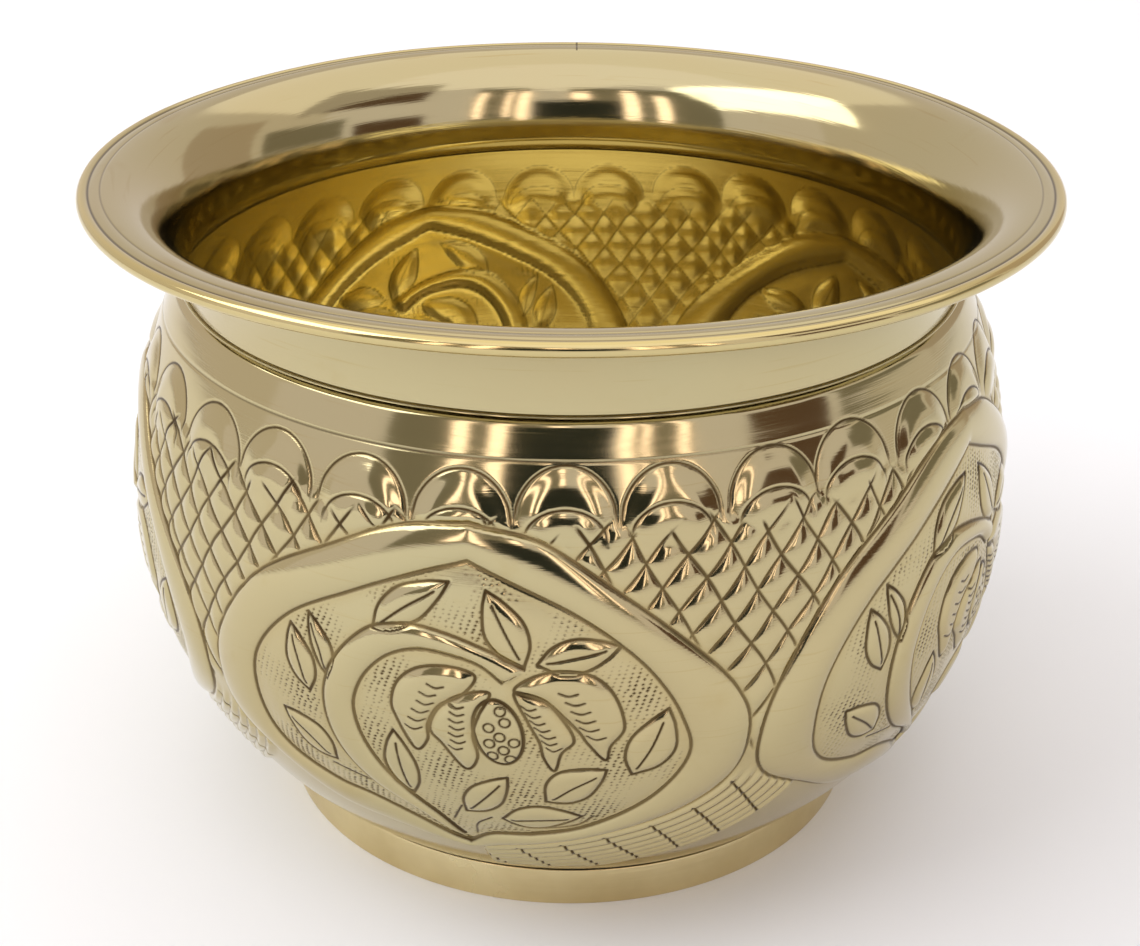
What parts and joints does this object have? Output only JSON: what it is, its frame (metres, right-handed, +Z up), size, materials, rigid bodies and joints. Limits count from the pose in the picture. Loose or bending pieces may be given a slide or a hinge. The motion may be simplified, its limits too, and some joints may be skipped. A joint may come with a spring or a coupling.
{
  "type": "brass urli bowl",
  "caption": "Pot-bellied sheet-brass bowl with chased floral medallions, a flared rim rolled over a wire, and a foot ring.",
  "frame": {"origin": "centre of the ring on which the foot stands, on the table", "axes": "+Z up along the bowl's axis of revolution; -Y towards the viewer"},
  "size_m": [0.2538, 0.2538, 0.1786],
  "materials": {
    "polished_brass": "polished, brushed around, with dark tarnish in the chased lines",
    "satin_brass": "satin, brushed around",
    "solder": "filed brazing solder",
    "wire_steel": "drawn wire"
  },
  "bodies": {
    "root": {"bowl_body": "polished_brass", "neck_rim": "polished_brass", "rim_wire": "wire_steel", "foot_ring": "satin_brass", "neck_solder_seam": "solder", "foot_solder_seam": "solder"}
  },
  "joints": []
}
